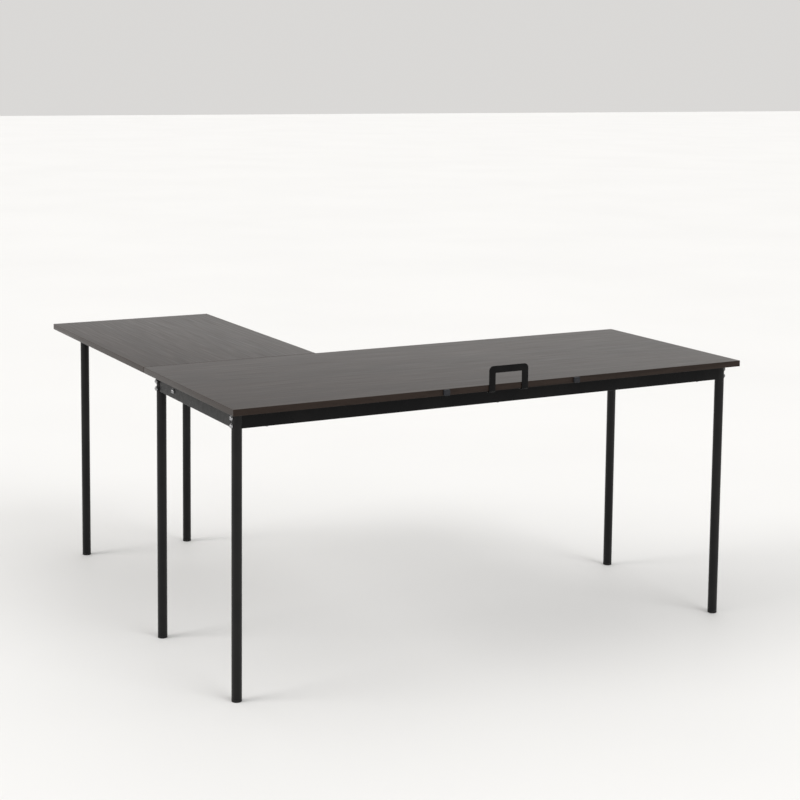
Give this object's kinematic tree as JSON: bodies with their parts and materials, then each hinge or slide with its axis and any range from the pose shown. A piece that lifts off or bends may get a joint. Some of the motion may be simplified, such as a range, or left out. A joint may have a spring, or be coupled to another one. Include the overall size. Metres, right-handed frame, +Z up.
{
  "type": "corner desk",
  "caption": "L-shaped desk with dark wood-effect tops on slim black round steel legs, open rails under the main top and a cable bracket on its rear edge.",
  "frame": {"origin": "on the floor, under the middle of the desk's bounding box", "axes": "+X runs along the main top, away from the return; +Y runs from the main top's rear edge, which carries the cable bracket, to the sitting side and along the return; +Z is up"},
  "size_m": [1.5, 1.4068, 0.7677],
  "materials": {
    "laminate_top": "dark espresso wood-effect melamine, satin, with matching edge band",
    "powder_coat": "black satin powder coat, fine texture",
    "plated_steel": "zinc-plated fasteners",
    "foot_plastic": "black moulded plastic",
    "block_plastic": "dark grey moulded plastic"
  },
  "bodies": {
    "root": {"main_top": "laminate_top", "return_top": "laminate_top", "main_leg_rear_left": "powder_coat", "foot_cap_rear_left": "foot_plastic", "rail_insert_rear_left": "plated_steel", "leg_bolt_rear_left_upper": "plated_steel", "leg_bolt_rear_left_lower": "plated_steel", "main_leg_rear_right": "powder_coat", "foot_cap_rear_right": "foot_plastic", "rail_insert_rear_right": "plated_steel", "leg_bolt_rear_right_upper": "plated_steel", "leg_bolt_rear_right_lower": "plated_steel", "rear_rail": "powder_coat", "rear_rail_screw_1": "plated_steel", "rear_rail_screw_2": "plated_steel", "rear_rail_screw_3": "plated_steel", "main_leg_front_left": "powder_coat", "foot_cap_front_left": "foot_plastic", "rail_insert_front_left": "plated_steel", "leg_bolt_front_left_upper": "plated_steel", "leg_bolt_front_left_lower": "plated_steel", "main_leg_front_right": "powder_coat", "foot_cap_front_right": "foot_plastic", "rail_insert_front_right": "plated_steel", "leg_bolt_front_right_upper": "plated_steel", "leg_bolt_front_right_lower": "plated_steel", "front_rail": "powder_coat", "front_rail_screw_1": "plated_steel", "front_rail_screw_2": "plated_steel", "front_rail_screw_3": "plated_steel", "left_rail": "powder_coat", "right_rail": "powder_coat", "left_rail_bolt": "plated_steel", "leg_plate_left": "powder_coat", "return_leg_left": "powder_coat", "foot_cap_return_left": "foot_plastic", "leg_plate_left_screw_1": "plated_steel", "leg_plate_left_screw_2": "plated_steel", "leg_plate_left_screw_3": "plated_steel", "leg_plate_left_screw_4": "plated_steel", "joining_plate_left": "powder_coat", "joining_plate_left_screw_1": "plated_steel", "joining_plate_left_screw_2": "plated_steel", "joining_plate_left_screw_3": "plated_steel", "joining_plate_left_screw_4": "plated_steel", "leg_plate_right": "powder_coat", "return_leg_right": "powder_coat", "foot_cap_return_right": "foot_plastic", "leg_plate_right_screw_1": "plated_steel", "leg_plate_right_screw_2": "plated_steel", "leg_plate_right_screw_3": "plated_steel", "leg_plate_right_screw_4": "plated_steel", "joining_plate_right": "powder_coat", "joining_plate_right_screw_1": "plated_steel", "joining_plate_right_screw_2": "plated_steel", "joining_plate_right_screw_3": "plated_steel", "joining_plate_right_screw_4": "plated_steel", "cable_bracket": "powder_coat", "edge_block_left": "block_plastic", "edge_block_right": "block_plastic"}
  },
  "joints": []
}
